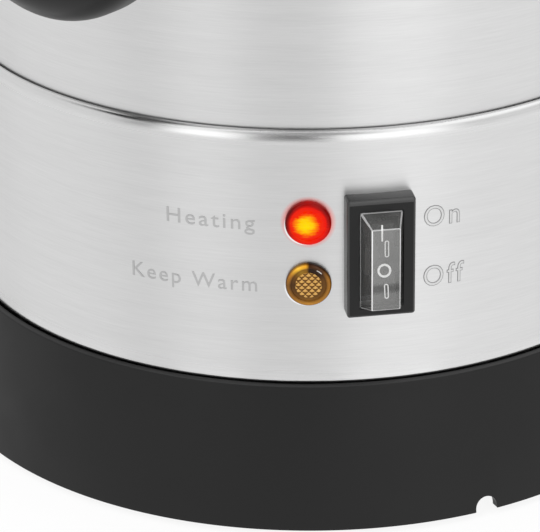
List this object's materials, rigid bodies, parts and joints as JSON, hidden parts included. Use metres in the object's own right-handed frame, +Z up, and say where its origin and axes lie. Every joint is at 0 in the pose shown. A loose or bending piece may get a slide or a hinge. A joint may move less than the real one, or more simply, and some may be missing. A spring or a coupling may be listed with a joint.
{
  "type": "beverage warmer",
  "caption": "Countertop hot drink warmer: flared black base, brushed steel band with indicator lamps and covered rocker switch, double walled tank, lever tap, side handles, lid.",
  "frame": {"origin": "axis of the tank on the floor plane, between the feet", "axes": "+Z up along the tank's axis, -Y towards the tap, +X to the right as seen from the tap"},
  "size_m": [0.291, 0.2827, 0.4558],
  "materials": {
    "base_black": "fine moulded matt black",
    "sheet_steel": "plain pressed sheet",
    "rubber": "moulded black rubber",
    "zinc_steel": "zinc plated",
    "brushed_band": "brushed round the band",
    "brushed_jacket": "brushed round the wall",
    "polished_tank": "satin drawn stainless",
    "spreader_aluminium": "cast",
    "element_sheath": "heat tinted sheath",
    "sensor_ceramic": "unglazed off white",
    "white_nylon": "natural nylon",
    "switch_black": "semi gloss black",
    "rocker_black": "semi gloss black",
    "clear_silicone": "clear soft boot",
    "lamp_black": "moulded black",
    "red_lens": "clear red, lit",
    "amber_lens": "clear amber, unlit",
    "tap_black": "gloss black",
    "lever_black": "gloss black",
    "stem_steel": "turned stainless",
    "seat_silicone": "milky silicone",
    "handle_black": "moulded black",
    "inlet_black": "moulded black",
    "pin_brass": "nickel plated",
    "brushed_lid": "spun and brushed"
  },
  "bodies": {
    "body": {"base_ring": "base_black", "base_plate": "sheet_steel", "rubber_feet": "rubber", "foot_screws": "zinc_steel", "tie_rod": "zinc_steel", "tie_nut": "zinc_steel", "control_band": "brushed_band", "outer_jacket": "brushed_jacket", "tank_wall": "polished_tank", "tank_floor": "polished_tank", "heat_shield": "sheet_steel", "heat_spreader": "spreader_aluminium", "heating_element": "element_sheath", "keep_warm_element": "element_sheath", "control_thermostat": "sensor_ceramic", "dry_boil_cutout": "sensor_ceramic", "thermal_fuse": "sensor_ceramic", "terminal_block": "white_nylon", "switch_frame": "switch_black", "switch_boot": "clear_silicone", "switch_body": "switch_black", "tap_escutcheon": "tap_black", "tap_body": "tap_black", "tap_spout": "tap_black", "tap_outer_gasket": "rubber", "tap_wall_spacer": "white_nylon", "tap_inner_gasket": "rubber", "tap_lock_nut": "tap_black", "tap_bonnet": "tap_black", "handle_left": "handle_black", "handle_right": "handle_black", "handle_screws": "zinc_steel", "power_inlet": "inlet_black", "inlet_pins": "pin_brass", "inlet_screws": "zinc_steel", "heating_lamp_lens": "red_lens", "heating_lamp_body": "lamp_black", "heating_lamp_nut": "lamp_black", "keep_warm_lamp_lens": "amber_lens", "keep_warm_lamp_body": "lamp_black", "keep_warm_lamp_nut": "lamp_black"},
    "rocker": {"switch_rocker": "rocker_black"},
    "stem": {"tap_stem": "stem_steel", "tap_seat_cup": "seat_silicone", "tap_spring": "stem_steel", "tap_lever_pin": "stem_steel"},
    "lever": {"tap_lever": "lever_black"},
    "lid": {"lid_shell": "brushed_lid", "lid_locating_ring": "polished_tank", "lid_knob_collar": "handle_black", "lid_knob": "handle_black", "lid_knob_screw": "zinc_steel"}
  },
  "joints": [
    {"name": "switch_rock", "type": "hinge", "parent": "body", "child": "rocker", "pos_m": [0.08249, -0.06971, 0.0826], "axis": [0.6455, 0.7638, 0], "range_deg": [0, 16]},
    {"name": "tap_stem_lift", "type": "slide", "parent": "body", "child": "stem", "axis": [0, 0, 1], "range_m": [0, 0.00402], "deforming": ["tap_spring"]},
    {"name": "tap_lever_tilt", "type": "hinge", "parent": "stem", "child": "lever", "pos_m": [0, -0.1523, 0.2138], "axis": [1, 0, 0], "range_deg": [0, 60], "stiffness_Nm_per_rad": 0.06, "springref_deg": -17.19},
    {"name": "lid_lift", "type": "slide", "parent": "body", "child": "lid", "axis": [0, 0, 1], "range_m": [0, 0.12]}
  ],
  "couplings": [
    {"joint": "tap_stem_lift", "follows": "tap_lever_tilt", "m_per_rad": 0.0038197}
  ]
}
